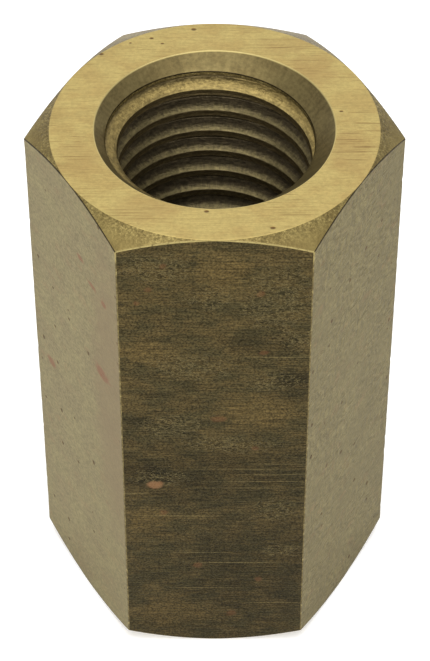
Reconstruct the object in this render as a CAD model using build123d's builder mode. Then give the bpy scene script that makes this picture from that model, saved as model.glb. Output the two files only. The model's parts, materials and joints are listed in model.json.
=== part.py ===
from build123d import *
from build123d.topology import SkipClean

import os
from math import radians, tan

# Hexagonal coupling nut that joins two 1 inch, 8 threads per inch rods end to end.
# All lengths are in millimetres.  The nut stands on its lower end at z = 0, its axis
# is +Z and one wrench flat faces -Y, so two of its corners lie on the X axis.

# Hexagonal bar
ACROSS_FLATS = 38.1
LENGTH = 69.85
CORNER_ROUND = 0.25

# Turned ends: a flat ring with a shallow cone outside it
END_RING_DIAMETER = 37.9
END_CHAMFER_ANGLE = 30.0

# Countersink at each mouth of the bore
COUNTERSINK_DIAMETER = 27.8
COUNTERSINK_HALF_ANGLE = 45.0

# Right-hand internal thread
THREAD_PITCH = 3.175
CREST_DIAMETER = 22.6
ROOT_DIAMETER = 25.6
CREST_FLAT = 0.8
FLANK_ANGLE = 30.0

# Height of the upper edge of the lowest crest, on the +X side of the bore
CREST_EDGE_HEIGHT = 1.686

# The bore wall is laid out in quarters, so each crest face is a quarter of a turn
BORE_QUARTERS = 4

# The groove starts this many turns below that crest and runs out of both ends
TURNS_BELOW = 2
GROOVE_TURNS = 24

# How far each cutter reaches past the metal that it leaves
GROOVE_OVERLAP = 0.3
CUTTER_OVERLAP = 5.0

crest_radius = CREST_DIAMETER / 2
root_radius = ROOT_DIAMETER / 2

# Section of the helical groove, whose inner edge lies inside the bore
flank_slope = tan(radians(FLANK_ANGLE))
mouth_half_width = (THREAD_PITCH - CREST_FLAT) / 2
inner_half_width = mouth_half_width + GROOVE_OVERLAP * flank_slope
root_half_width = mouth_half_width - (root_radius - crest_radius) * flank_slope
groove_start = CREST_EDGE_HEIGHT + mouth_half_width - TURNS_BELOW * THREAD_PITCH

# One turn of the groove
with BuildPart() as groove_turn:
    with BuildLine() as groove_path:
        Helix(THREAD_PITCH, THREAD_PITCH, crest_radius, center=(0, 0, groove_start))
    with BuildSketch(Plane.XZ) as groove_section:
        with BuildLine():
            Polyline(
                (crest_radius - GROOVE_OVERLAP, groove_start - inner_half_width),
                (root_radius, groove_start - root_half_width),
                (root_radius, groove_start + root_half_width),
                (crest_radius - GROOVE_OVERLAP, groove_start + inner_half_width),
                close=True,
            )
        make_face()
    sweep(groove_section.sketch, path=groove_path.line, is_frenet=True)

with BuildPart() as hex_coupling_nut:
    # Bar with slightly rounded corners
    with BuildSketch():
        RegularPolygon(ACROSS_FLATS / 2, 6, major_radius=False)
        fillet(vertices(), CORNER_ROUND)
    extrude(amount=LENGTH)

    # Turned ends, whose cones run out on the flats
    ring_radius = END_RING_DIAMETER / 2
    turned_radius = ACROSS_FLATS / 2 + CUTTER_OVERLAP
    cone_height = (turned_radius - ring_radius) * tan(radians(END_CHAMFER_ANGLE))
    with BuildSketch(Plane.XZ):
        with BuildLine():
            Polyline(
                (0, 0),
                (ring_radius, 0),
                (turned_radius, cone_height),
                (turned_radius, LENGTH - cone_height),
                (ring_radius, LENGTH),
                (0, LENGTH),
                close=True,
            )
        make_face()
    revolve(axis=Axis.Z, mode=Mode.INTERSECT)

    # From here on the faces stay as they are cut, so the bore keeps its quarters
    with SkipClean():
        # Bore, as wide as the thread crests leave it
        quarter_angle = 360 / BORE_QUARTERS
        quarters = [Plane.XY.rotated((0, 0, quarter_angle * q)) for q in range(BORE_QUARTERS)]
        with BuildSketch(*quarters):
            with BuildLine():
                bore_side = Line((0, 0), (crest_radius, 0))
                bore_arc = CenterArc((0, 0), crest_radius, 0, quarter_angle)
                Line(bore_arc @ 1, bore_side @ 0)
            make_face()
        extrude(amount=LENGTH, mode=Mode.SUBTRACT)

        # Groove of the thread
        with Locations(*[(0, 0, THREAD_PITCH * turn) for turn in range(GROOVE_TURNS)]):
            add(groove_turn.part, mode=Mode.SUBTRACT)

        # Countersink at each mouth
        cutter_radius = COUNTERSINK_DIAMETER / 2 + CUTTER_OVERLAP
        cutter_height = cutter_radius / tan(radians(COUNTERSINK_HALF_ANGLE))
        cutter_rise = CUTTER_OVERLAP / tan(radians(COUNTERSINK_HALF_ANGLE))
        for mouth, inward in ((0, 1), (LENGTH, -1)):
            with BuildSketch(Plane.XZ):
                with BuildLine():
                    Polyline(
                        (0, mouth - inward * cutter_rise),
                        (cutter_radius, mouth - inward * cutter_rise),
                        (0, mouth + inward * (cutter_height - cutter_rise)),
                        close=True,
                    )
                make_face()
            revolve(axis=Axis.Z, mode=Mode.SUBTRACT)

hex_coupling_nut.part.label = "hex_coupling_nut"

os.makedirs("parts", exist_ok=True)
export_step(hex_coupling_nut.part, "parts/hex_coupling_nut.step")
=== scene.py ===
import json
import math

import bpy
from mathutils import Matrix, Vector, noise


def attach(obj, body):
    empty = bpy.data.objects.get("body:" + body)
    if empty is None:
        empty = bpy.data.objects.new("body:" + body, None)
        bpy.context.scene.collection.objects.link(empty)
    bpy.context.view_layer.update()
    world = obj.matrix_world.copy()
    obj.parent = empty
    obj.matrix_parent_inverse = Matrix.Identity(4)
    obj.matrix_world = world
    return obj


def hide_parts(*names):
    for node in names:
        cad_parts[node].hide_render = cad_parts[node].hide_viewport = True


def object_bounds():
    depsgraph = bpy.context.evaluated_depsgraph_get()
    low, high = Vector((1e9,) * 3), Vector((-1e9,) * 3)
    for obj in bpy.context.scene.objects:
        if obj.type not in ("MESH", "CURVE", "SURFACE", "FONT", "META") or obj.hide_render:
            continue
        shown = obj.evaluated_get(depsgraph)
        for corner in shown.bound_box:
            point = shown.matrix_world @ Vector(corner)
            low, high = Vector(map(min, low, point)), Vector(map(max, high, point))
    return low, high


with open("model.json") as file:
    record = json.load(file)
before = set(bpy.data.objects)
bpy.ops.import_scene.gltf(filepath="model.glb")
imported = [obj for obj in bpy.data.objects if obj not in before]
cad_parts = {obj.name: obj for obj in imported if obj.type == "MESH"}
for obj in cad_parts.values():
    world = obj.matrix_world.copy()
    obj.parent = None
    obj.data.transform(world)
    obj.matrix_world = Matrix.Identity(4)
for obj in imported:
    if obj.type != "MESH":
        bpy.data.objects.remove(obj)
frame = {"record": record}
cad_low, cad_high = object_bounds()

# The nut is worked out in millimetres and its vertices are written in metres.
MM = 0.001
NODE = "hex_coupling_nut"
mounts = {mount["name"]: mount for mount in frame["record"]["mounts"]}

# Sizes read from the frame
APOTHEM = cad_high.y / MM
LENGTH = (cad_high.z - cad_low.z) / MM
CREST_RADIUS = mounts["rod_thread"]["dims"]["r_mm"]

# Sizes that the frame doesn't state, as in the CAD source
CORNER_ROUND = 0.25
RING_RADIUS = 18.95
CHAMFER_SLOPE = math.tan(math.radians(30))
MOUTH_RADIUS = 13.9
CONE_SLOPE = 1.0
ROOT_RADIUS = 12.8
PITCH = 3.175
CREST_FLAT = 0.8
FLANK_SLOPE = math.tan(math.radians(30))
CREST_EDGE_HEIGHT = 1.686

# Worn and rounded edges
RING_EDGE_ROUND = 0.2
FLAT_EDGE_ROUND = 0.2
MOUTH_ROUND = 0.12
CREST_ROUND = 0.07
ROOT_ROUND = 0.16
LIP_BLEND = 0.12
# The burr on a crest's lower edge, as (distance past the edge, how far it stands proud)
BURR = [(-0.28, 0.0), (-0.16, 0.056), (-0.06, 0.07), (0.03, -0.02)]

# The rim where a groove of the thread breaks into the countersink. It is sunk into the metal by RIM_DEPTH
# at most. From above it runs a little way down the cone, across a groove painted dark as shade, down a
# tilted land painted lighter as a highlight and over a narrow lip, back to the thread.
RIM_DEPTH = 0.14
RIM_START = 0.04
GROOVE_WIDTH = 0.16
GROOVE_TOP_BACK = 0.012
GROOVE_FOOT_BACK = 0.02
LAND_WIDTH = 0.26
LIP_FORWARD = 0.08
LIP_WIDTH = 0.05
RIM_REACH = 0.15
# The rim is full size where the thread, this far inside the cone's edge, stands this far behind the cone
RIM_PROBE = 0.1
RIM_FULL_AT = 0.15
# It takes up at most this share of the metal between the cone and the thread's root
RIM_SHARE = 0.8

# The flats' waves and the corners' nicks. A nick stands where its noise is above NICK_START.
# The outside is even within EVEN_END of either end.
WAVE_LENGTH = 9
WAVE_DEPTH = 0.03
WAVE_SHIFT = 7
NICK_LENGTH = 1.3
NICK_DEPTH = 0.12
NICK_START = 0.1
EVEN_END = 3

# An arc takes up at most this share of the sides that it joins
ARC_SHARE = 0.45

# How finely the mesh is divided
FLAT_COLUMNS = 30
CORNER_STEPS = 4
WALL_ROWS = 110
RING_EDGE_STEPS = 2
CHAMFER_ROWS = 4
FLAT_EDGE_STEPS = 3
EDGE_MARGIN = 0.16
BORE_COLUMNS = 180
CONE_ROWS = 9
# How far the thread is worked out beyond the ends, and how close its points may come to them and to the rim
OVERRUN = 1.0
END_CLEARANCE = 0.1
RIM_CLEARANCE = 0.05
# A face of the bore belongs to the countersink when its middle is no further out than this from the cone
CONE_MARGIN = 0.09
# Places down the rim's outline where its groove and its land end
GROOVE_END = 2
LAND_END = 3
# Faces that meet at more than this angle show a sharp edge, in degrees
SHARP_ANGLE = 38
# Turns of the thread, counted up from the lower end, and the highest crest that goes all the way round
TURNS = range(-2, 23)
FIRST_CREST = 20

# The six flats are numbered anticlockwise, seen from above
FRONT = 0
RIGHT = 1
LEFT = 5
BESIDE_FRONT = (RIGHT, LEFT)
RIPPLED = (RIGHT, RIGHT + 1)

# How far into the metal a mark on a flat and a mark on the ring reach
MARK_DEPTH = 5
RING_MARK_DEPTH = 9


def corner_arc(before, corner, after, radius, steps):
    """Points of a rounded corner in a flat profile, from the side of before to the side of after."""
    corner = Vector(corner)
    back = Vector(before) - corner
    ahead = Vector(after) - corner
    half = back.angle(ahead) / 2
    tangent = min(radius / math.tan(half), ARC_SHARE * back.length, ARC_SHARE * ahead.length)
    fitted = tangent * math.tan(half)
    back.normalize()
    ahead.normalize()
    centre = corner + (back + ahead).normalized() * (fitted / math.sin(half))
    start = corner + back * tangent - centre
    end = corner + ahead * tangent - centre
    points = []
    for step in range(steps + 1):
        share = step / steps
        # both ends are a radius from the centre, so a spherical blend follows the arc
        turn = start.angle(end)
        a = math.sin((1 - share) * turn) / math.sin(turn)
        b = math.sin(share * turn) / math.sin(turn)
        points.append(centre + start * a + end * b)
    return points


def spread(first, last, count):
    """Values that divide the stretch from first to last into count equal steps, ends left out."""
    return [first + (last - first) * step / count for step in range(1, count)]


# ---------------------------------------------------------------- thread and countersinks

def burr(below, radius):
    """The rolled-over lower edge of a crest, which stands a little proud of it."""
    return [Vector((below + past, radius - proud)) for past, proud in BURR]


def thread_turn():
    """One turn of the thread, as (distance below the crest's upper corner, radius)."""
    rise = (ROOT_RADIUS - CREST_RADIUS) * FLANK_SLOPE
    root_before = (-rise, ROOT_RADIUS)
    crest_top = (0.0, CREST_RADIUS)
    crest_end = (CREST_FLAT, CREST_RADIUS)
    root_top = (CREST_FLAT + rise, ROOT_RADIUS)
    root_end = (PITCH - rise, ROOT_RADIUS)
    next_crest = (PITCH, CREST_RADIUS)
    points = corner_arc(root_before, crest_top, crest_end, CREST_ROUND, 2)
    points.append(Vector((CREST_FLAT / 2, CREST_RADIUS)))
    points += burr(CREST_FLAT, CREST_RADIUS)
    points.append((Vector(crest_end) + Vector(root_top)) / 2)
    points += corner_arc(crest_end, root_top, root_end, ROOT_ROUND, 2)
    points += corner_arc(root_top, root_end, next_crest, ROOT_ROUND, 2)
    points.append((Vector(root_end) + Vector(next_crest)) / 2)
    return [(point.x, point.y) for point in points]


THREAD = thread_turn()


def thread_radius(below):
    """Radius of the thread at a distance below some crest's upper corner."""
    start = THREAD[0][0]
    below = (below - start) % PITCH + start
    looped = THREAD + [(THREAD[0][0] + PITCH, THREAD[0][1])]
    for (s0, r0), (s1, r1) in zip(looped, looped[1:]):
        if below <= s1:
            return r0 + (r1 - r0) * (below - s0) / (s1 - s0)
    return looped[-1][1]


def cone_radius(height):
    """Radius of the countersink nearest to this height."""
    return MOUTH_RADIUS - min(height, LENGTH - height) * CONE_SLOPE


def blended(a, b):
    """The larger of two radii, with the edge between them rounded over."""
    gap = max(LIP_BLEND - abs(a - b), 0.0)
    return max(a, b) + gap * gap / (4 * LIP_BLEND)


def crossing_name(going_in, height, edge, end):
    """A name for the place where the countersink and one turn of the thread meet."""
    half_flank = (ROOT_RADIUS - CREST_RADIUS) * FLANK_SLOPE / 2
    if going_in:
        return ("in", round((height + half_flank - edge + CREST_FLAT) / PITCH), end)
    return ("out", round((height - half_flank - edge) / PITCH), end)


def rim_points(name, height, edge, inward):
    """Points down the rim where a groove breaks into the countersink: cone, groove, land and lip.

    inward is the way from the countersink into the nut, -1 at the top and 1 at the bottom.
    """
    radius = cone_radius(height)
    behind = thread_radius(edge - height - RIM_PROBE * inward) - radius
    sunk = RIM_DEPTH * min(max(behind / RIM_FULL_AT, 0.0), 1.0)
    sunk = min(sunk, RIM_SHARE * (ROOT_RADIUS - radius))
    grown = sunk / RIM_DEPTH
    upper = height - inward * sunk / CONE_SLOPE
    groove = upper + inward * GROOVE_WIDTH * grown
    lower = groove + inward * LAND_WIDTH * grown
    lip = radius + sunk - LIP_FORWARD * grown
    down = [(upper - inward * RIM_START, radius + sunk + RIM_START * CONE_SLOPE),
            (upper, radius + sunk + GROOVE_TOP_BACK),
            (groove, radius + sunk + GROOVE_FOOT_BACK * grown),
            (lower, lip),
            (lower + inward * LIP_WIDTH, lip),
            (lower + inward * RIM_REACH, thread_radius(edge - lower - inward * RIM_REACH))]
    return [(name + (step,), at, max(away, 0.0)) for step, (at, away) in enumerate(down)]


def bore_column(angle):
    """Named points down the bore's wall at one angle, highest first, as (name, height, radius)."""
    edge = CREST_EDGE_HEIGHT + PITCH * angle / math.tau
    reach = (MOUTH_RADIUS - CREST_RADIUS) / CONE_SLOPE
    points = []
    crossings = []
    last = None
    for turn in reversed(TURNS):
        for step, (below, radius) in enumerate(THREAD):
            height = edge + turn * PITCH - below
            if not -OVERRUN < height < LENGTH + OVERRUN:
                continue
            over = radius - cone_radius(height)
            if last and last[1] * over < 0:
                share = last[1] / (last[1] - over)
                at = last[0] + (height - last[0]) * share
                if END_CLEARANCE < at < LENGTH - END_CLEARANCE:
                    end = "top" if at > LENGTH / 2 else "bottom"
                    crossings.append((crossing_name(over > 0, at, edge, end), at))
            last = (height, over)
            if over > 0 and 0 < height < LENGTH:
                points.append((("thread", turn, step), height))
    for row in range(CONE_ROWS + 1):
        depth = END_CLEARANCE + (reach - END_CLEARANCE) * row / CONE_ROWS
        for end, height in (("top", LENGTH - depth), ("bottom", depth)):
            if cone_radius(height) > thread_radius(edge - height):
                points.append((("cone", end, row), height))
    column = []
    rim = []
    for name, at in crossings:
        inward = -1 if name[2] == "top" else 1
        if name[0] == ("in" if inward < 0 else "out"):
            rim += rim_points(name, at, edge, inward)
        else:
            rim.append((name, at, cone_radius(at)))
    for name, height in points:
        clear = all(abs(height - at) > RIM_CLEARANCE for _, at, _ in rim)
        if clear and not inside_rim(height, rim):
            radius = blended(thread_radius(edge - height), cone_radius(height))
            column.append((name, height, radius))
    return sorted(column + rim, key=lambda item: -item[1])


def inside_rim(height, rim):
    """Whether a height lies between the first and the last point of one rim."""
    spans = {}
    for name, at, _ in rim:
        spans.setdefault(name[:3], []).append(at)
    return any(min(heights) <= height <= max(heights) for heights in spans.values())


def one_turn_lower(name):
    """The same point's name as counted from the far side of the seam."""
    if name[0] == "cone":
        return name
    return (name[0], name[1] - 1) + name[2:]


def strip_faces(left, right):
    """Faces between two neighbouring columns of (name, vertex), joined where their names agree."""
    places = {name: index for index, (name, _) in enumerate(right)}
    shared = []
    reached = -1
    for index, (name, _) in enumerate(left):
        other = places.get(name, -1)
        if other > reached:
            shared.append((index, other))
            reached = other
    faces = []
    for (i0, j0), (i1, j1) in zip(shared, shared[1:]):
        faces += zipped(left[i0:i1 + 1], right[j0:j1 + 1])
    return faces


def zipped(left, right):
    """Faces between two short runs of (name, vertex) that share their first and last names."""
    if len(left) == 2 and len(right) == 2:
        return [(left[0][1], left[1][1], right[1][1], right[0][1])]
    faces = []
    i = j = 0
    while i < len(left) - 1 or j < len(right) - 1:
        go_left = j == len(right) - 1
        if i < len(left) - 1 and not go_left:
            go_left = (i + 1) / (len(left) - 1) <= (j + 1) / (len(right) - 1)
        if go_left:
            faces.append((left[i][1], left[i + 1][1], right[j][1]))
            i += 1
        else:
            faces.append((left[i][1], right[j + 1][1], right[j][1]))
            j += 1
    return faces


# ---------------------------------------------------------------- outside of the nut

def outline():
    """Points round the hexagon with rounded corners, as (point, outward normal, flat, on a corner)."""
    tight = APOTHEM - CORNER_ROUND
    half_flat = tight * FLANK_SLOPE
    last = half_flat - EDGE_MARGIN
    points = []
    for flat in range(6):
        facing = math.radians(60 * flat - 90)
        normal = Vector((math.cos(facing), math.sin(facing)))
        along = Vector((-normal.y, normal.x))
        for share in [-last] + spread(-last, last, FLAT_COLUMNS) + [last]:
            points.append((normal * APOTHEM + along * share, normal, flat, False))
        centre = normal * tight + along * half_flat
        for step in range(CORNER_STEPS + 1):
            turn = facing + math.radians(60) * step / CORNER_STEPS
            outward = Vector((math.cos(turn), math.sin(turn)))
            nearest = flat if 2 * step < CORNER_STEPS else (flat + 1) % 6
            points.append((centre + outward * CORNER_ROUND, outward, nearest, True))
    return points


def outer_profile(reach):
    """Radius and height down the outside of the nut where its outline is reach from the axis."""
    shoulder = LENGTH - (reach - RING_RADIUS) * CHAMFER_SLOPE
    ring = (RING_RADIUS, LENGTH)
    edge = (reach, shoulder)
    upper = corner_arc((MOUTH_RADIUS, LENGTH), ring, edge, RING_EDGE_ROUND, RING_EDGE_STEPS)
    lower = corner_arc(ring, edge, (reach, LENGTH / 2), FLAT_EDGE_ROUND, FLAT_EDGE_STEPS)
    cone = [upper[-1].lerp(lower[0], share) for share in spread(0, 1, CHAMFER_ROWS)]
    top = upper + cone + lower
    first = top[-1].y - EDGE_MARGIN
    rows = [Vector((reach, first))]
    rows += [Vector((reach, height)) for height in spread(first, LENGTH - first, WALL_ROWS)]
    rows.append(Vector((reach, LENGTH - first)))
    bottom = [Vector((point.x, LENGTH - point.y)) for point in reversed(top)]
    return top + rows + bottom


def outer_zone(row, rows, flat, on_corner):
    """Which surface a face of the outside belongs to."""
    from_end = min(row, rows - 2 - row)
    if from_end < RING_EDGE_STEPS:
        return "ring"
    if from_end < RING_EDGE_STEPS + CHAMFER_ROWS:
        return "chamfer"
    front = flat == FRONT
    # edges round the front flat are worn and carry a painted highlight; the upper edges of the other flats
    # are painted as shade
    if from_end < RING_EDGE_STEPS + CHAMFER_ROWS + FLAT_EDGE_STEPS:
        return "worn_and_highlit_edge" if front else "painted_shade_edge"
    if on_corner and (front or flat in BESIDE_FRONT):
        return "worn_and_highlit_edge"
    return f"flat_{flat}"


def unevenness(point, height, flat, on_corner):
    """How far the outside lies inside its true shape: waves, and nicks on the corners. Ends are even."""
    if min(height, LENGTH - height) <= EVEN_END:
        return 0.0
    place = Vector((point.x, point.y, height))
    wave = 0.5 + 0.5 * noise.noise(place / WAVE_LENGTH + Vector((0, 0, WAVE_SHIFT * flat)))
    nick = max(noise.noise(place / NICK_LENGTH) - NICK_START, 0.0) if on_corner else 0.0
    return WAVE_DEPTH * wave + NICK_DEPTH * nick


def ring_faces(outer, inner, angles_outer, angles_inner):
    """Faces across a flat ring, between two loops with different numbers of vertices."""
    faces = []
    i = j = 0
    n, m = len(outer), len(inner)
    while i < n or j < m:
        next_outer = angles_outer[(i + 1) % n] + math.tau * ((i + 1) // n)
        next_inner = angles_inner[(j + 1) % m] + math.tau * ((j + 1) // m)
        if i < n and (j >= m or next_outer <= next_inner):
            faces.append((outer[i % n], outer[(i + 1) % n], inner[j % m]))
            i += 1
        else:
            faces.append((outer[i % n], inner[(j + 1) % m], inner[j % m]))
            j += 1
    return faces


# ---------------------------------------------------------------- whole mesh

def add_outside(around, add_vertex, faces, zones):
    """The hexagon's sides and chamfers. Returns its columns of vertices, each from the top down."""
    columns = []
    for point, outward, flat, on_corner in around:
        angle = math.atan2(point.y, point.x)
        column = []
        for radius, height in outer_profile(point.length):
            dent = unevenness(point, height, flat, on_corner)
            x = radius * math.cos(angle) - outward.x * dent
            y = radius * math.sin(angle) - outward.y * dent
            column.append(add_vertex(x, y, height))
        columns.append(column)
    rows = len(columns[0])
    for i, (_, _, flat, on_corner) in enumerate(around):
        following = (i + 1) % len(columns)
        left, right = columns[i], columns[following]
        corner_face = on_corner and around[following][3]
        for row in range(rows - 1):
            faces.append((left[row], left[row + 1], right[row + 1], right[row]))
            zones.append(outer_zone(row, rows, flat, corner_face))
    return columns


def add_bore(add_vertex, vertices, faces, zones):
    """The countersinks and the thread. Returns the bore's columns of (name, vertex), from the top down."""
    cone_end = LENGTH - (MOUTH_RADIUS - CREST_RADIUS) / CONE_SLOPE
    mouth = corner_arc((RING_RADIUS, LENGTH), (MOUTH_RADIUS, LENGTH),
                       (CREST_RADIUS, cone_end), MOUTH_ROUND, 2)
    bore = []
    for i in range(BORE_COLUMNS):
        angle = math.tau * i / BORE_COLUMNS
        column = [(("cone", "rim", step), point.y, point.x) for step, point in enumerate(mouth)]
        column += bore_column(angle)
        for step, point in enumerate(reversed(mouth)):
            column.append((("cone", "foot", step), LENGTH - point.y, point.x))
        named = []
        for name, height, radius in column:
            named.append((name, add_vertex(radius * math.cos(angle), radius * math.sin(angle), height)))
        bore.append(named)
    for i in range(BORE_COLUMNS):
        left = bore[i]
        right = bore[(i + 1) % BORE_COLUMNS]
        if i == BORE_COLUMNS - 1:
            right = [(one_turn_lower(name), vertex) for name, vertex in right]
        rim_steps = {vertex: name[3] for name, vertex in left + right if len(name) == 4}
        for face in strip_faces(left, right):
            faces.append(face[::-1])
            zones.append(bore_zone([vertices[v] for v in face], [rim_steps.get(v) for v in face]))
    return bore


def add_rings(around, columns, bore, faces, zones):
    """The two flat rings, between the outside and the bore."""
    outer_angles = [math.atan2(point.y, point.x) for point, *_ in around]
    bore_angles = [math.tau * i / BORE_COLUMNS for i in range(BORE_COLUMNS)]
    start = next(i for i, angle in enumerate(outer_angles) if angle >= 0)
    turned = list(range(start, len(around))) + list(range(start))
    angles = [outer_angles[i] % math.tau for i in turned]
    top = ring_faces([columns[i][0] for i in turned], [column[0][1] for column in bore],
                     angles, bore_angles)
    bottom = ring_faces([columns[i][-1] for i in turned], [column[-1][1] for column in bore],
                        angles, bore_angles)
    faces += top
    faces += [face[::-1] for face in bottom]
    zones += ["ring"] * (len(top) + len(bottom))


def build_nut():
    """The nut's vertices in millimetres, its faces, and the name of each face's surface."""
    vertices = []
    faces = []
    zones = []

    def add_vertex(x, y, z):
        vertices.append((x, y, z))
        return len(vertices) - 1

    around = sorted(outline(), key=lambda item: math.atan2(item[0].y, item[0].x))
    columns = add_outside(around, add_vertex, faces, zones)
    bore = add_bore(add_vertex, vertices, faces, zones)
    add_rings(around, columns, bore, faces, zones)
    return vertices, faces, zones


def bore_zone(corners, rim_steps):
    """Which surface a face of the bore belongs to, rim_steps being its corners' places down the rim."""
    if None not in rim_steps:
        # the rim's groove is painted dark as shade, and its land takes the chamfer's lighter tone as a
        # painted highlight
        if max(rim_steps) <= GROOVE_END:
            return "painted_shade_edge"
        if max(rim_steps) <= LAND_END:
            return "chamfer"
    middle = sum((Vector(corner) for corner in corners), Vector()) / len(corners)
    radius = math.hypot(middle.x, middle.y)
    return "sink" if radius < cone_radius(middle.z) + CONE_MARGIN else "thread"


vertices, faces, zones = build_nut()
mesh = bpy.data.meshes.new("hex_nut")
mesh.from_pydata([Vector(v) * MM for v in vertices], [], faces)
mesh.validate()
nut = bpy.data.objects.new("hex_nut", mesh)
bpy.context.scene.collection.objects.link(nut)


# ---------------------------------------------------------------- brass surfaces

def shade(red, green, blue):
    """Linear colour of a tone given as it shows on screen, from 0 to 255."""
    return tuple(((value / 255 + 0.055) / 1.055) ** 2.4 for value in (red, green, blue))


class Surface:
    """Node tree of one surface. Sizes, places and bump heights are in millimetres."""

    def __init__(self, name, turn=0.0):
        self.material = bpy.data.materials.new(name)
        self.material.use_nodes = True
        self.tree = self.material.node_tree
        self.shader = self.tree.nodes["Principled BSDF"]
        self.place = self.node("TexCoord").outputs["Object"]
        self.turn = turn
        self.shared_wander = None

    def node(self, kind, **settings):
        """A new shader node with these settings."""
        made = self.tree.nodes.new("ShaderNode" + kind)
        for key, value in settings.items():
            setattr(made, key, value)
        return made

    def feed(self, socket, value):
        """Links a socket to another node's output, or sets it to a constant."""
        if isinstance(value, bpy.types.NodeSocket):
            self.tree.links.new(value, socket)
        elif isinstance(value, tuple) and socket.type == "RGBA":
            socket.default_value = (*value, 1)
        else:
            socket.default_value = value

    def math(self, operation, *values):
        """The result of one Math node."""
        made = self.node("Math", operation=operation)
        for socket, value in zip(made.inputs, values):
            self.feed(socket, value)
        return made.outputs[0]

    def total(self, first, *rest):
        """The sum of some values."""
        for value in rest:
            first = self.math("ADD", first, value)
        return first

    def times(self, first, *rest):
        """The product of some values."""
        for value in rest:
            first = self.math("MULTIPLY", first, value)
        return first

    def span(self, value, low, high, to_low=0.0, to_high=1.0):
        """A value carried from one range to another, held at the ends."""
        made = self.node("MapRange", interpolation_type="SMOOTHSTEP")
        for socket, number in zip(made.inputs, (value, low, high, to_low, to_high)):
            self.feed(socket, number)
        return made.outputs[0]

    def mix(self, share, first, second):
        """The first colour where share is 0 and the second where it is 1."""
        # a Mix node keeps its two colours in sockets 6 and 7, and gives the mixed one in output 2
        made = self.node("Mix", data_type="RGBA")
        self.feed(made.inputs["Factor"], share)
        self.feed(made.inputs[6], first)
        self.feed(made.inputs[7], second)
        return made.outputs[2]

    def dimmed(self, colour, factor):
        """A colour multiplied by a factor, which may be above 1."""
        made = self.node("VectorMath", operation="SCALE")
        self.feed(made.inputs[0], colour)
        self.feed(made.inputs["Scale"], factor)
        return made.outputs[0]

    def stretched(self, size, tilt=0.0, shift=0.0, place=None):
        """Coordinates counted in features of this size (along the face, into it, up it)."""
        made = self.node("Mapping", vector_type="TEXTURE")
        self.feed(made.inputs["Vector"], place or self.place)
        made.inputs["Location"].default_value = (shift * MM, shift * MM, shift * MM)
        made.inputs["Rotation"].default_value = (0, math.radians(tilt), self.turn)
        made.inputs["Scale"].default_value = [length * MM for length in size]
        return made.outputs[0]

    def axes(self):
        """The x, y and z of the shaded point, in millimetres."""
        split = self.node("SeparateXYZ")
        self.feed(split.inputs[0], self.place)
        return [self.times(value, 1 / MM) for value in split.outputs]

    def radius(self):
        """Distance from the nut's axis, in millimetres."""
        x, y, _ = self.axes()
        return self.math("SQRT", self.total(self.times(x, x), self.times(y, y)))

    def turns_up(self):
        """Height counted in turns of the thread: a whole number is a crest's upper edge.

        The count steps by one on the -Y side of the bore.
        """
        x, y, z = self.axes()
        angle = self.math("ARCTAN2", self.times(x, -1), y)
        turn = self.total(self.times(angle, 1 / math.tau), 0.25)
        return self.math("SUBTRACT", self.times(self.total(z, -CREST_EDGE_HEIGHT), 1 / PITCH), turn)

    def direction(self):
        """A coordinate that only changes round the axis, on a circle of one millimetre."""
        flat = self.node("VectorMath", operation="MULTIPLY")
        self.feed(flat.inputs[0], self.place)
        flat.inputs[1].default_value = (1, 1, 0)
        unit = self.node("VectorMath", operation="NORMALIZE")
        self.feed(unit.inputs[0], flat.outputs[0])
        made = self.node("VectorMath", operation="SCALE")
        self.feed(made.inputs[0], unit.outputs[0])
        made.inputs["Scale"].default_value = MM
        return made.outputs[0]

    def along_thread(self):
        """Coordinates that follow the thread: along it, and across it."""
        x, y, _ = self.axes()
        angle = self.math("ARCTAN2", self.times(x, -1), y)
        made = self.node("CombineXYZ")
        self.feed(made.inputs[0], self.times(angle, ROOT_RADIUS * MM))
        self.feed(made.inputs[2], self.times(self.turns_up(), PITCH * MM))
        return made.outputs[0]

    def noise(self, size, tilt=0.0, shift=0.0, detail=2.0, rough=0.5, place=None, twist=0.0):
        """Noise whose features are about this size, from 0 to 1."""
        made = self.node("TexNoise")
        self.feed(made.inputs["Vector"], self.stretched(size, tilt, shift, place))
        made.inputs["Distortion"].default_value = twist
        made.inputs["Scale"].default_value = 1.0
        made.inputs["Detail"].default_value = detail
        made.inputs["Roughness"].default_value = rough
        return made.outputs["Fac"]

    def spots(self, size, radius, share, shift=0.0, ragged=0.25):
        """Round marks on a flat, one to a cell of this size at most, on a share of the cells."""
        # the cells are two-dimensional, along the flat and up it, so that a mark's middle lies on the flat
        wobble = self.noise([length * 0.25 for length in size], shift=shift)
        cells = self.node("SeparateXYZ")
        self.feed(cells.inputs[0], self.stretched(size, shift=shift))
        spread_out = self.node("CombineXYZ")
        self.feed(spread_out.inputs[0], cells.outputs[0])
        self.feed(spread_out.inputs[1], cells.outputs[2])
        made = self.node("TexVoronoi", voronoi_dimensions="2D")
        self.feed(made.inputs["Vector"], spread_out.outputs[0])
        made.inputs["Scale"].default_value = 1.0
        parts = self.node("SeparateColor")
        self.feed(parts.inputs[0], made.outputs["Color"])
        reach = self.times(self.span(parts.outputs[0], 1 - share, 1.0, 0.0, 1.0), radius)
        edge = self.total(made.outputs["Distance"], self.times(self.total(wobble, -0.5), ragged))
        return self.span(self.math("SUBTRACT", reach, edge), 0.0, 0.03)

    def wander(self):
        """The noise that bends the outlines of all marks of this surface, made once."""
        if self.shared_wander is None:
            self.shared_wander = self.noise((1.5, 1.5, 1.0), shift=3, detail=4, rough=0.65)
        return self.shared_wander

    def on_flat(self, across, up):
        """A place on the middle plane of this flat, in the nut's own millimetres."""
        return (across * math.cos(self.turn) + APOTHEM * math.sin(self.turn),
                across * math.sin(self.turn) - APOTHEM * math.cos(self.turn), up)

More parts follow.
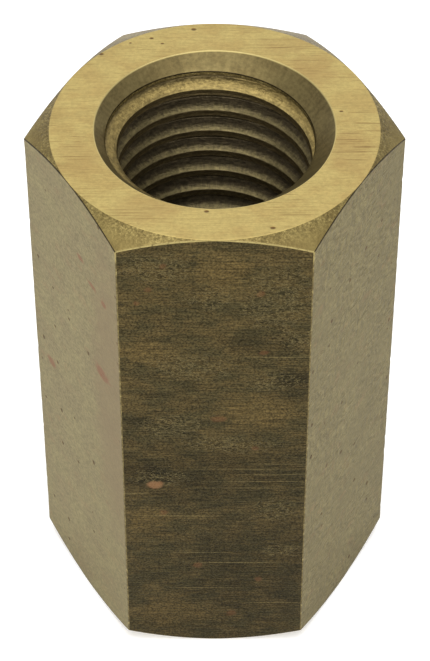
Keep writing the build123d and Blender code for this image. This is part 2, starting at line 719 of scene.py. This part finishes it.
    def mark(self, centre, half_size, uneven=0.6):
        """A soft mark with a ragged outline, from 1 in its middle to 0 outside it."""
        made = self.node("Mapping", vector_type="TEXTURE")
        self.feed(made.inputs["Vector"], self.place)
        made.inputs["Location"].default_value = [length * MM for length in centre]
        made.inputs["Rotation"].default_value = (0, 0, self.turn)
        made.inputs["Scale"].default_value = [length * MM for length in half_size]
        away = self.node("VectorMath", operation="LENGTH")
        self.feed(away.inputs[0], made.outputs[0])
        bend = self.times(self.total(self.wander(), -0.5), 2 * uneven)
        return self.span(self.total(away.outputs["Value"], bend), 1.2, 0.5)

    def marks(self, places, uneven=0.6):
        """Marks on this flat, each given as (across, up, half width, half height)."""
        shown = 0.0
        for across, up, wide, high in places:
            one = self.mark(self.on_flat(across, up), (wide, MARK_DEPTH, high), uneven)
            shown = self.math("MAXIMUM", shown, one)
        return shown

    def finish(self, colour, roughness, height=None, metallic=0.8):
        """Connects the shader and returns the material."""
        self.feed(self.shader.inputs["Base Color"], colour)
        self.feed(self.shader.inputs["Roughness"], roughness)
        self.shader.inputs["Metallic"].default_value = metallic
        self.shader.inputs["Specular IOR Level"].default_value = 0.25
        if height:
            bump = self.node("Bump")
            bump.inputs["Distance"].default_value = MM
            self.feed(bump.inputs["Height"], height)
            self.feed(self.shader.inputs["Normal"], bump.outputs[0])
        return self.material


# Small pits in the top ring, as (x, y, size)
RING_PITS = [(-0.9, -14.3, 0.3), (6.4, -17.0, 0.3), (-7.5, 16.2, 0.26), (-6.2, 15.2, 0.2),
             (-10.0, 15.3, 0.18), (-2.5, 17.9, 0.3), (-13.4, 13.2, 0.3), (14.6, 2.8, 0.22)]
# Browner places on the top ring, as (x, y, half width, half depth)
RING_STAINS = [(11.5, 10, 3.2, 3.5), (-15.2, -5, 3, 3.5), (15.5, -4.5, 3, 4), (8.5, 14.8, 3.5, 1.6),
               (-8, -14, 4, 2)]


def faced_ring():
    """The flat ends: bright, finely grained, with short brown lines along X and small pits."""
    s = Surface("faced_ring")
    lines = s.noise((2.6, 0.14, 3), detail=3, rough=0.65)
    grain = s.noise((0.4, 0.32, 0.4), detail=4, rough=0.7)
    patches = s.noise((4, 3, 4), shift=15, detail=3, rough=0.6)
    stained = 0.0
    for x, y, wide, deep in RING_STAINS:
        stained = s.math("MAXIMUM", stained, s.mark((x, y, LENGTH), (wide, deep, RING_MARK_DEPTH), 0.9))
    here = s.math("MAXIMUM", stained, s.times(s.span(s.noise((5, 3, 7), shift=80), 0.42, 0.56), 0.7))
    scratches = s.times(s.span(s.noise((9, 0.18, 3), shift=40, detail=1), 0.38, 0.32), here)
    pits = 0.0
    for x, y, size in RING_PITS:
        pit = s.mark((x, y, LENGTH), (size * 1.1, size * 0.8, RING_MARK_DEPTH), 0.3)
        pits = s.math("MAXIMUM", pits, pit)
    colour = s.mix(s.span(patches, 0.38, 0.66), shade(183, 163, 102), shade(175, 152, 94))
    colour = s.dimmed(colour, s.span(lines, 0.3, 0.7, 0.91, 1.07))
    colour = s.dimmed(colour, s.span(grain, 0.3, 0.7, 0.88, 1.1))
    colour = s.mix(s.times(s.span(lines, 0.38, 0.27), 0.3), colour, shade(138, 108, 62))
    colour = s.mix(s.times(stained, 0.3), colour, shade(158, 128, 80))
    colour = s.mix(s.times(scratches, 0.7), colour, shade(108, 80, 44))
    colour = s.mix(s.times(pits, 0.85), colour, shade(92, 62, 30))
    height = s.total(s.times(lines, 0.006), s.times(grain, 0.03), s.times(pits, -0.05))
    return s.finish(colour, s.span(grain, 0.3, 0.7, 0.36, 0.46), height)


def turned_chamfer():
    """The chamfered corners, and the rim's land, where this lighter tone is a painted highlight: olive,
    speckled by the turning tool near the ring, with painted glint spots there.
    """
    s = Surface("turned_chamfer")
    fine = s.noise((0.3, 0.3, 0.2), detail=3, rough=0.7)
    broad = s.noise((3, 3, 3), shift=9, detail=3)
    near_ring = s.span(s.radius(), RING_RADIUS + 2, RING_RADIUS + 0.1)
    speckle = s.total(1.0, s.times(s.span(fine, 0.32, 0.68, -0.3, 0.26), s.total(0.45, near_ring)))
    # painted highlights: small glint spots near the ring
    painted_glints = s.times(s.span(fine, 0.6, 0.68), near_ring)
    colour = s.mix(s.span(broad, 0.35, 0.65), shade(138, 122, 74), shade(122, 106, 63))
    colour = s.dimmed(colour, speckle)
    colour = s.mix(s.times(painted_glints, 0.5), colour, shade(190, 176, 120))
    # a little darker towards +X and next to the ring
    x, _, _ = s.axes()
    colour = s.dimmed(colour, s.span(x, -10, 12, 1.0, 0.92))
    colour = s.dimmed(colour, s.span(near_ring, 0.0, 1.0, 1.04, 0.96))
    return s.finish(colour, 0.42, s.times(fine, s.total(0.04, s.times(near_ring, 0.05))))


def sunk_cone():
    """The countersinks: browner, with streaks that run down to the thread, a painted highlight along the
    mouth's edge, and painted light and shade that change with y.
    """
    s = Surface("sunk_cone")
    grain = s.noise((0.5, 0.5, 0.3), detail=3, rough=0.6)
    streaks = s.noise((0.05, 0.05, 1), detail=3, rough=0.6, place=s.direction())
    patches = s.noise((3, 3, 3), shift=5, detail=3, rough=0.6)
    colour = s.mix(s.span(patches, 0.4, 0.65), shade(116, 103, 66), shade(105, 92, 58))
    colour = s.dimmed(colour, s.span(grain, 0.3, 0.7, 0.84, 1.14))
    colour = s.dimmed(colour, s.span(streaks, 0.3, 0.7, 0.9, 1.1))
    # a painted highlight: a light line along the mouth's edge
    rim = s.span(s.radius(), MOUTH_RADIUS - 0.14, MOUTH_RADIUS - 0.04)
    colour = s.mix(s.times(rim, 0.7), colour, shade(200, 182, 120))
    # painted light and shade: lighter towards the front, and at the back a light band with a darker one
    # behind it
    _, y, _ = s.axes()
    colour = s.dimmed(colour, s.span(y, 4, -5, 1.0, 1.25))
    colour = s.dimmed(colour, s.times(s.span(y, 8.8, 11.2, 1.0, 1.17), s.span(y, 11.6, 12.8, 1.0, 0.88)))
    return s.finish(colour, 0.34, s.times(grain, 0.03))


def cut_thread():
    """The thread: painted light on each upward flank next to a crest's upper edge, and painted shade in the
    root.
    """
    s = Surface("cut_thread")
    helix = s.along_thread()
    grain = s.noise((0.5, 0.5, 0.3), detail=3, rough=0.65)
    drawn = s.noise((1.6, 1, 0.16), detail=3, rough=0.7, place=helix)
    torn = s.noise((0.4, 1, 1.2), shift=31, detail=3, rough=0.7, place=helix)
    turns = s.turns_up()
    rise = s.math("FRACT", turns)
    above_all = s.span(turns, FIRST_CREST - 0.01, FIRST_CREST + 0.01)
    ragged = s.total(rise, s.span(torn, 0.25, 0.75, -0.07, 0.07))
    # painted light: the upward flank is lighter just above a crest's upper edge, with a ragged border
    flank_light = s.times(s.span(ragged, 0.18, 0.0), s.span(rise, 0.0, 0.012))
    crest = s.span(rise, 0.72, 0.76)
    # the band above the highest whole crest carries a painted highlight in gold, wider and brighter towards
    # +X
    x, _, _ = s.axes()
    reach = s.math("SUBTRACT", rise, s.span(x, 1, 8, 0.0, 0.2))
    first_band = s.times(s.span(reach, 0.3, 0.16), s.span(rise, 0.0, 0.1, 0.62, 1.0))
    # painted shade: the root and the flanks are darker than the crest flat
    colour = s.mix(crest, shade(84, 74, 54), shade(108, 94, 63))
    colour = s.mix(flank_light, colour, shade(112, 101, 68))
    golden_highlight = s.times(above_all, s.total(0.25, s.times(first_band, 0.7)))
    colour = s.mix(golden_highlight, colour, shade(150, 131, 80))
    colour = s.dimmed(colour, s.total(1.0, s.times(above_all, s.span(x, 2, 9, 0.0, 0.28))))
    colour = s.dimmed(colour, s.span(grain, 0.3, 0.7, 0.75, 1.25))
    colour = s.dimmed(colour, s.span(drawn, 0.3, 0.7, 0.75, 1.25))
    bumps = s.times(s.noise((0.55, 1, 0.25), shift=57, detail=3, rough=0.65, place=helix), above_all)
    return s.finish(colour, 0.38, s.total(s.times(grain, 0.06), s.times(drawn, 0.03), s.times(bumps, 0.09)))


def worn_and_highlit_edge():
    """Edges round the front flat, worn bright, with a painted highlight over the wear, painted glint spots,
    and the darker skin left in short breaks.
    """
    s = Surface("worn_and_highlit_edge")
    breaks = s.noise((0.5, 0.5, 0.7), detail=3, rough=0.7)
    colour = s.mix(s.span(breaks, 0.42, 0.56), shade(118, 105, 66), shade(92, 80, 49))
    # painted highlights: glint spots where the breaks noise is low
    colour = s.mix(s.span(breaks, 0.4, 0.34), colour, shade(156, 142, 95))
    # the edge under the upper chamfer carries a painted highlight almost all the way
    _, _, up = s.axes()
    top_edge_highlight = s.times(s.span(up, LENGTH - 4, LENGTH - 2.5), s.span(breaks, 0.7, 0.56))
    colour = s.mix(s.times(top_edge_highlight, 0.7), colour, shade(158, 143, 92))
    return s.finish(colour, 0.4, s.times(breaks, 0.02))


def painted_shade_edge():
    """Edges between the chamfer and the other flats, and the rim's groove: painted shade in two dark tones
    mixed by noise.
    """
    s = Surface("painted_shade_edge")
    breaks = s.noise((0.8, 0.8, 0.8), detail=3, rough=0.7)
    colour = s.mix(s.span(breaks, 0.4, 0.6), shade(50, 42, 25), shade(74, 64, 41))
    return s.finish(colour, 0.45, s.times(breaks, 0.03))


# Places on the front flat, as (across, up, half width, half height)
WARM_PATCHES = [(5, 42.5, 6, 2.6), (-8, 23.5, 3, 3), (-5, 5.5, 6, 2.6), (1, 65, 3.5, 4), (-7, 52, 4.5, 2.2)]
DULL_PATCHES = [(0, 31, 14, 6), (-10, 32.5, 4, 3), (5.5, 54, 5, 2.5), (9.5, 47, 3.5, 3), (8, 15, 6, 12),
                (2, 14, 6, 9)]
DARK_STREAKS = [(-8.5, 30.2, 3.5, 0.7), (-8.5, 32.2, 4, 1.2), (9, 48, 2.2, 1.4), (-9, 41, 2, 1.2)]
CRACKLED = [(-6.5, 65.7, 4.5, 2.6), (7.5, 61, 4.5, 6), (-0.5, 61, 3, 2), (9.5, 54.5, 2.5, 1.8),
            (7, 47.5, 4, 1.6), (-6.5, 31, 3.5, 2), (1.5, 37, 6, 1.6), (-3, 50, 5, 2.2),
            (7.5, 25, 3, 2.2), (8, 17.5, 2.5, 1.2), (-5, 40, 4, 2)]
LONG_SCRATCHES = [(7, 51.6, 4.4, 0.08), (-5.2, 24, 6, 0.07), (-2, 17.1, 4, 0.06), (2.5, 15.2, 7, 0.08),
                  (7.5, 7.4, 3.5, 0.08), (-9.6, 28.1, 1.8, 0.08), (4, 32.5, 7, 0.05), (5, 30.3, 6, 0.05),
                  (7, 31.5, 5, 0.05), (3, 29.1, 6, 0.05), (8, 33.4, 4, 0.05), (-1, 10.3, 5, 0.05)]
COPPER_SPOTS = [(-5.8, 66, 0.5, 0.45), (-7.4, 62.4, 0.6, 0.4), (-8.8, 60.2, 0.45, 0.4),
                (5.1, 61.6, 0.5, 0.5), (5.6, 52.3, 0.5, 0.3), (4.7, 36.2, 0.5, 0.4),
                (-2, 14.8, 0.6, 0.6), (5.4, 11.9, 0.5, 0.5), (2.1, 5.4, 0.7, 0.7),
                (0.3, 41.2, 1.1, 0.6), (-6.2, 24.6, 0.6, 0.5)]
# The one place on the front flat where the skin is gone
PATINA_GAP = [(-7.2, 29.7, 1.0, 0.75)]
# Places on the flat to the left of the front, in the same form: a redder tone near the front, and streaks
NEAR_FRONT = [(9, 42, 5, 26)]
REDDISH = [(2.4, 60, 1.0, 0.4), (5, 57.9, 1.1, 0.5), (7.7, 57.2, 0.7, 0.5), (6.4, 44.9, 2, 1),
           (-7.1, 34.8, 1.4, 0.7)]


def shaded_front_flat():
    """The front flat: brown skin painted much darker than the other flats as shade, brushed along the flat,
    with crackled and copper-red places.
    """
    s = Surface("shaded_front_flat")
    mottle = s.noise((3.4, 3, 1.9), shift=3, detail=5, rough=0.65)
    lines = s.noise((4.5, 1, 0.2), detail=2, rough=0.6)
    hairs = s.span(s.noise((12, 1, 0.13), shift=44, detail=1), 0.62, 0.74)
    grain = s.noise((0.26, 0.7, 0.24), detail=2, rough=0.6)
    swirl = s.noise((0.9, 1, 0.42), shift=70, detail=3, rough=0.6)
    crackled = s.math("MAXIMUM", s.marks(CRACKLED, 1.0), 0.14)
    # painted highlights on the crackle's ridge lines and painted shade in its hollow places
    lit_ridges = s.times(s.span(s.math("ABSOLUTE", s.total(swirl, -0.5)), 0.04, 0.008), crackled)
    shaded_hollows = s.times(s.span(swirl, 0.47, 0.38), crackled)
    warm = s.marks(WARM_PATCHES, 0.9)
    dull = s.marks(DULL_PATCHES, 0.9)
    streaks = s.marks(DARK_STREAKS, 0.9)
    scratches = s.times(s.marks(LONG_SCRATCHES, 0.3), s.span(grain, 0.35, 0.55, 0.5, 1.0))
    copper = s.marks(COPPER_SPOTS, 1.2)
    patina_gap = s.marks(PATINA_GAP, 0.8)
    colour = s.mix(s.span(mottle, 0.36, 0.64), shade(55, 49, 29), shade(70, 59, 34))
    colour = s.mix(s.times(warm, 0.5), colour, shade(86, 71, 40))
    colour = s.dimmed(colour, s.math("SUBTRACT", 1.0, s.times(dull, 0.24)))
    colour = s.dimmed(colour, s.math("SUBTRACT", 1.0, s.times(streaks, 0.35)))
    _, _, up = s.axes()
    colour = s.dimmed(colour, s.span(up, 34, 48, 1.01, 1.13))
    colour = s.dimmed(colour, s.span(lines, 0.3, 0.7, 0.64, 1.36))
    colour = s.dimmed(colour, s.span(grain, 0.3, 0.7, 0.5, 1.5))
    colour = s.mix(s.times(hairs, 0.2), colour, shade(112, 99, 64))
    # painted shade in the crackle's hollow places, then painted highlights on its ridge lines
    colour = s.mix(s.times(shaded_hollows, 0.4), colour, shade(34, 31, 18))
    colour = s.mix(s.times(lit_ridges, 0.45), colour, shade(132, 118, 76))
    colour = s.mix(s.times(copper, 0.34), colour, shade(110, 72, 46))
    colour = s.mix(s.times(patina_gap, 0.75), colour, shade(134, 98, 66))
    colour = s.mix(s.times(scratches, 0.52), colour, shade(130, 116, 76))
    height = s.total(s.times(lines, 0.02), s.times(grain, 0.03), s.times(lit_ridges, 0.04))
    return s.finish(colour, 0.45, height, metallic=1.0)


def grey_flat(flat):
    """The other flats: grey-tan and finely grained, with reddish stains and small pits."""
    s = Surface(f"grey_flat_{flat}", turn=math.radians(60 * flat))
    lines = s.noise((3, 1, 0.5), detail=3, rough=0.65, shift=11 * flat, tilt=-8)
    grain = s.noise((0.4, 0.6, 0.3), detail=4, rough=0.75, shift=5 * flat)
    mottle = s.noise((5, 3, 3.4), shift=3 + 17 * flat, detail=4, rough=0.6)
    blush = s.span(s.noise((3, 2, 1.6), shift=29 + 7 * flat, detail=4, rough=0.65), 0.54, 0.7)
    pits = s.spots((4, 4, 4), 0.085, 0.6, shift=31 * flat, ragged=0.08)
    # the left flat's lighter tone is painted light; its grain is also coarser
    if flat == LEFT:
        light, dull = shade(141, 131, 96), shade(136, 125, 93)
        coarseness = 1.5
        foot = 1.05
    else:
        light, dull = shade(128, 118, 85), shade(123, 113, 82)
        coarseness = 1.0
        foot = 1.03
    colour = s.mix(s.span(mottle, 0.35, 0.65), light, dull)
    colour = s.dimmed(colour, s.span(lines, 0.32, 0.68, 1 - 0.02 * coarseness, 1 + 0.02 * coarseness))
    colour = s.dimmed(colour, s.span(grain, 0.3, 0.7, 1 - 0.16 * coarseness, 1 + 0.15 * coarseness))
    colour = s.mix(s.times(blush, 0.3), colour, shade(140, 113, 84))
    colour = s.mix(s.times(pits, 0.85), colour, shade(86, 66, 40))
    if flat == LEFT:
        colour = s.mix(s.times(s.marks(NEAR_FRONT, 0.5), 0.6), colour, shade(134, 117, 90))
        colour = s.mix(s.times(s.marks(REDDISH, 0.9), 0.8), colour, shade(134, 98, 74))
    height = s.total(s.times(lines, 0.01), s.times(grain, 0.02), s.times(pits, -0.05))
    if flat in RIPPLED:
        # two copies of one noise, a little apart, give the ripples a painted light side and a painted dark
        # side
        ripples = s.noise((1.6, 1, 1.3), detail=3, rough=0.62, shift=13 * flat, tilt=-35, twist=1.5)
        behind = s.noise((1.6, 1, 1.3), detail=3, rough=0.62, shift=13 * flat + 0.2, tilt=-35, twist=1.5)
        rough_places = s.span(s.noise((6, 3, 5), shift=7 * flat, detail=2), 0.35, 0.6, 0.35, 1.0)
        slope_light_and_shade = s.times(s.math("SUBTRACT", ripples, behind), rough_places)
        relief = s.times(s.total(ripples, -0.5), rough_places)
        height = s.total(height, s.times(relief, 0.34))
        # the raised parts of the ripples are painted lighter, as light
        colour = s.dimmed(colour, s.span(relief, -0.2, 0.2, 0.95, 1.05))
        colour = s.dimmed(colour, s.span(slope_light_and_shade, -0.14, 0.14, 0.87, 1.13))
        _, y, _ = s.axes()
        colour = s.dimmed(colour, s.span(y, -12, -1, 1.0, 0.96))
    # painted light: lighter towards the foot, against the shade that falls there
    _, _, up = s.axes()
    colour = s.dimmed(colour, s.span(up, 2, 30, foot, 1.0))
    # the skin stays dull at a grazing angle, where bare brass would turn white
    s.shader.inputs["Specular Tint"].default_value = (0.6, 0.6, 0.6, 1)
    return s.finish(colour, 0.45, height, metallic=1.0)


surfaces = {"ring": faced_ring(), "chamfer": turned_chamfer(), "sink": sunk_cone(), "thread": cut_thread(),
            "worn_and_highlit_edge": worn_and_highlit_edge(), "painted_shade_edge": painted_shade_edge(), "flat_0": shaded_front_flat()}
for flat in range(1, 6):
    surfaces[f"flat_{flat}"] = grey_flat(flat)
for material in surfaces.values():
    mesh.materials.append(material)
slots = {zone: index for index, zone in enumerate(surfaces)}
mesh.polygons.foreach_set("material_index", [slots[zone] for zone in zones])
mesh.polygons.foreach_set("use_smooth", [True] * len(mesh.polygons))
mesh.set_sharp_from_angle(angle=math.radians(SHARP_ANGLE))
weighted = nut.modifiers.new("weighted", "WEIGHTED_NORMAL")
weighted.keep_sharp = True
weighted.weight = 100
weighted.mode = "FACE_AREA"

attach(nut, "root")
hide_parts(NODE)

# ---------------------------------------------------------------- floor, light and camera

# Lengths below are in metres
FLOOR_HALF = 1.5
FLOOR_GAP = 0.00005
CAMERA_LENS = 142.69
CAMERA_TILT = 45.006
CAMERA_ASIDE = 0.000034
# The camera's distance in front and above, counted in apothems of the hexagon
CAMERA_FRONT = 12.004
CAMERA_ABOVE = 13.938

floor_mesh = bpy.data.meshes.new("floor")
floor_mesh.from_pydata([(-FLOOR_HALF, -FLOOR_HALF, 0), (FLOOR_HALF, -FLOOR_HALF, 0),
                        (FLOOR_HALF, FLOOR_HALF, 0), (-FLOOR_HALF, FLOOR_HALF, 0)],
                       [], [(0, 1, 2, 3)])
floor = bpy.data.objects.new("floor", floor_mesh)
floor.location.z = cad_low.z - FLOOR_GAP
floor_material = bpy.data.materials.new("floor")
floor_material.use_nodes = True
floor_shader = floor_material.node_tree.nodes["Principled BSDF"]
floor_shader.inputs["Base Color"].default_value = (0.93, 0.93, 0.93, 1)
floor_shader.inputs["Roughness"].default_value = 0.9
floor_shader.inputs["Emission Color"].default_value = (1, 1, 1, 1)
floor_shader.inputs["Emission Strength"].default_value = 0.25
floor_mesh.materials.append(floor_material)
bpy.context.scene.collection.objects.link(floor)

world = bpy.data.worlds.new("studio")
world.use_nodes = True
world.node_tree.nodes["Background"].inputs["Color"].default_value = (1, 1, 1, 1)
world.node_tree.nodes["Background"].inputs["Strength"].default_value = 0.72
bpy.context.scene.world = world


def softbox(name, place, target, size, watts):
    """A rectangular area light that faces its target."""
    light = bpy.data.lights.new(name, "AREA")
    light.shape = "RECTANGLE"
    light.size, light.size_y = size
    light.energy = watts
    lamp = bpy.data.objects.new(name, light)
    lamp.location = place
    lamp.rotation_euler = (Vector(target) - Vector(place)).to_track_quat("-Z", "Y").to_euler()
    bpy.context.scene.collection.objects.link(lamp)


middle = (cad_low + cad_high) / 2
softbox("back_box", (0, 0.7, 0.75), middle, (1.2, 0.8), 1.5)
softbox("top_box", (0, -0.1, 1.0), middle, (0.9, 0.9), 4.5)
softbox("front_box", (0, -0.8, 0.75), middle, (1.8, 0.4), 4.0)
softbox("low_front_box", (0, -0.9, 0.25), middle, (1.4, 0.3), 3.0)

camera_data = bpy.data.cameras.new("camera")
camera_data.sensor_width = 36
camera_data.lens = CAMERA_LENS
camera = bpy.data.objects.new("camera", camera_data)
camera.location = (CAMERA_ASIDE, -CAMERA_FRONT * APOTHEM * MM, CAMERA_ABOVE * APOTHEM * MM)
camera.rotation_euler = (math.radians(CAMERA_TILT), 0, 0)
camera_data.clip_start = 0.01
bpy.context.scene.collection.objects.link(camera)
bpy.context.scene.camera = camera
bpy.context.scene.view_settings.view_transform = "Standard"
